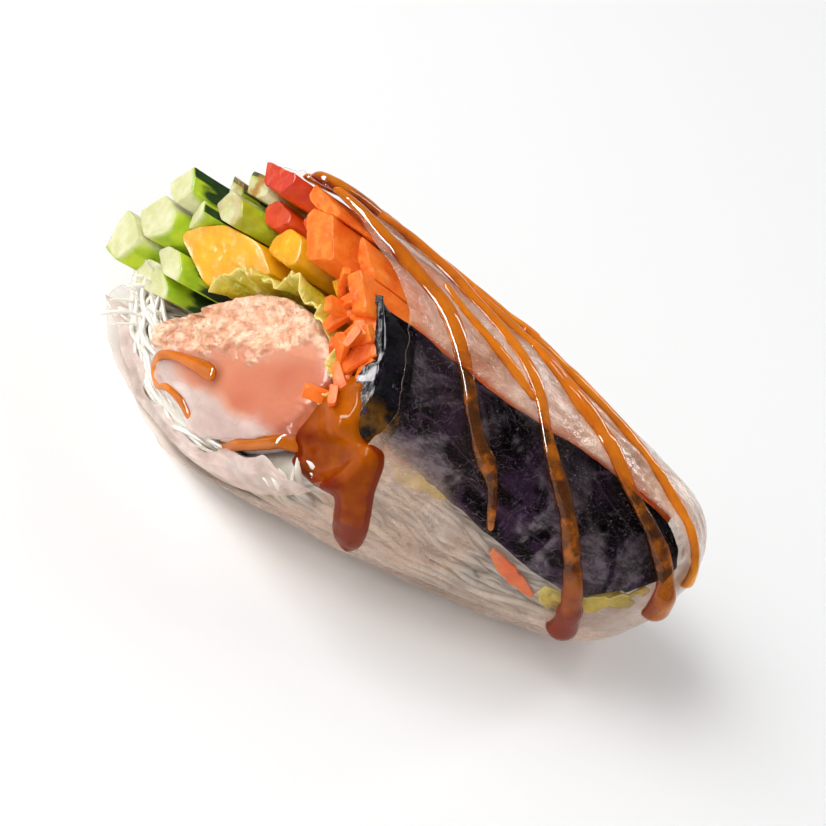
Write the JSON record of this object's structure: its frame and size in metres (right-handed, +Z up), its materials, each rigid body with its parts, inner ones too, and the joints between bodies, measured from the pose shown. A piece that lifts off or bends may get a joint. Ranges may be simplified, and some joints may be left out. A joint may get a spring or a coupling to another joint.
{
  "type": "rice paper roll",
  "caption": "Half of a fresh rice paper roll cut on the bias, with salmon, noodles, lettuce, peppers, cucumber, carrot and a dark leaf, glazed with brown sauce.",
  "frame": {"origin": "under the middle of the roll's bounding box, on its flattened base", "axes": "+Y along the roll, from the bias cut to the folded end; +X towards the flank with the dark leaf; +Z up"},
  "size_m": [0.0454, 0.1004, 0.0437],
  "materials": {
    "rice_paper": "wet, glossy, half see-through wrapper",
    "noodles": "moist, slightly glossy",
    "salmon": "moist, slightly glossy",
    "lettuce": "satin leaf",
    "dark_leaf": "satin leaf",
    "cucumber": "moist, glossy cut faces",
    "yellow_pepper": "moist, glossy",
    "red_pepper": "moist, glossy",
    "carrot": "moist, satin cut faces",
    "sauce": "thin glossy glaze in strands and drips"
  },
  "bodies": {
    "root": {"rice_paper": "rice_paper", "noodles": "noodles", "salmon": "salmon", "lettuce_1": "lettuce", "lettuce_2": "lettuce", "dark_leaf": "dark_leaf", "cucumber_1": "cucumber", "cucumber_2": "cucumber", "cucumber_3": "cucumber", "cucumber_4": "cucumber", "cucumber_5": "cucumber", "cucumber_6": "cucumber", "cucumber_7": "cucumber", "cucumber_8": "cucumber", "cucumber_9": "cucumber", "yellow_pepper_1": "yellow_pepper", "yellow_pepper_2": "yellow_pepper", "yellow_pepper_3": "yellow_pepper", "red_pepper_1": "red_pepper", "red_pepper_2": "red_pepper", "red_pepper_3": "red_pepper", "carrot_1": "carrot", "carrot_2": "carrot", "carrot_3": "carrot", "carrot_4": "carrot", "carrot_5": "carrot", "carrot_6": "carrot", "carrot_7": "carrot", "carrot_8": "carrot", "carrot_9": "carrot", "carrot_10": "carrot", "carrot_11": "carrot"}
  },
  "joints": []
}
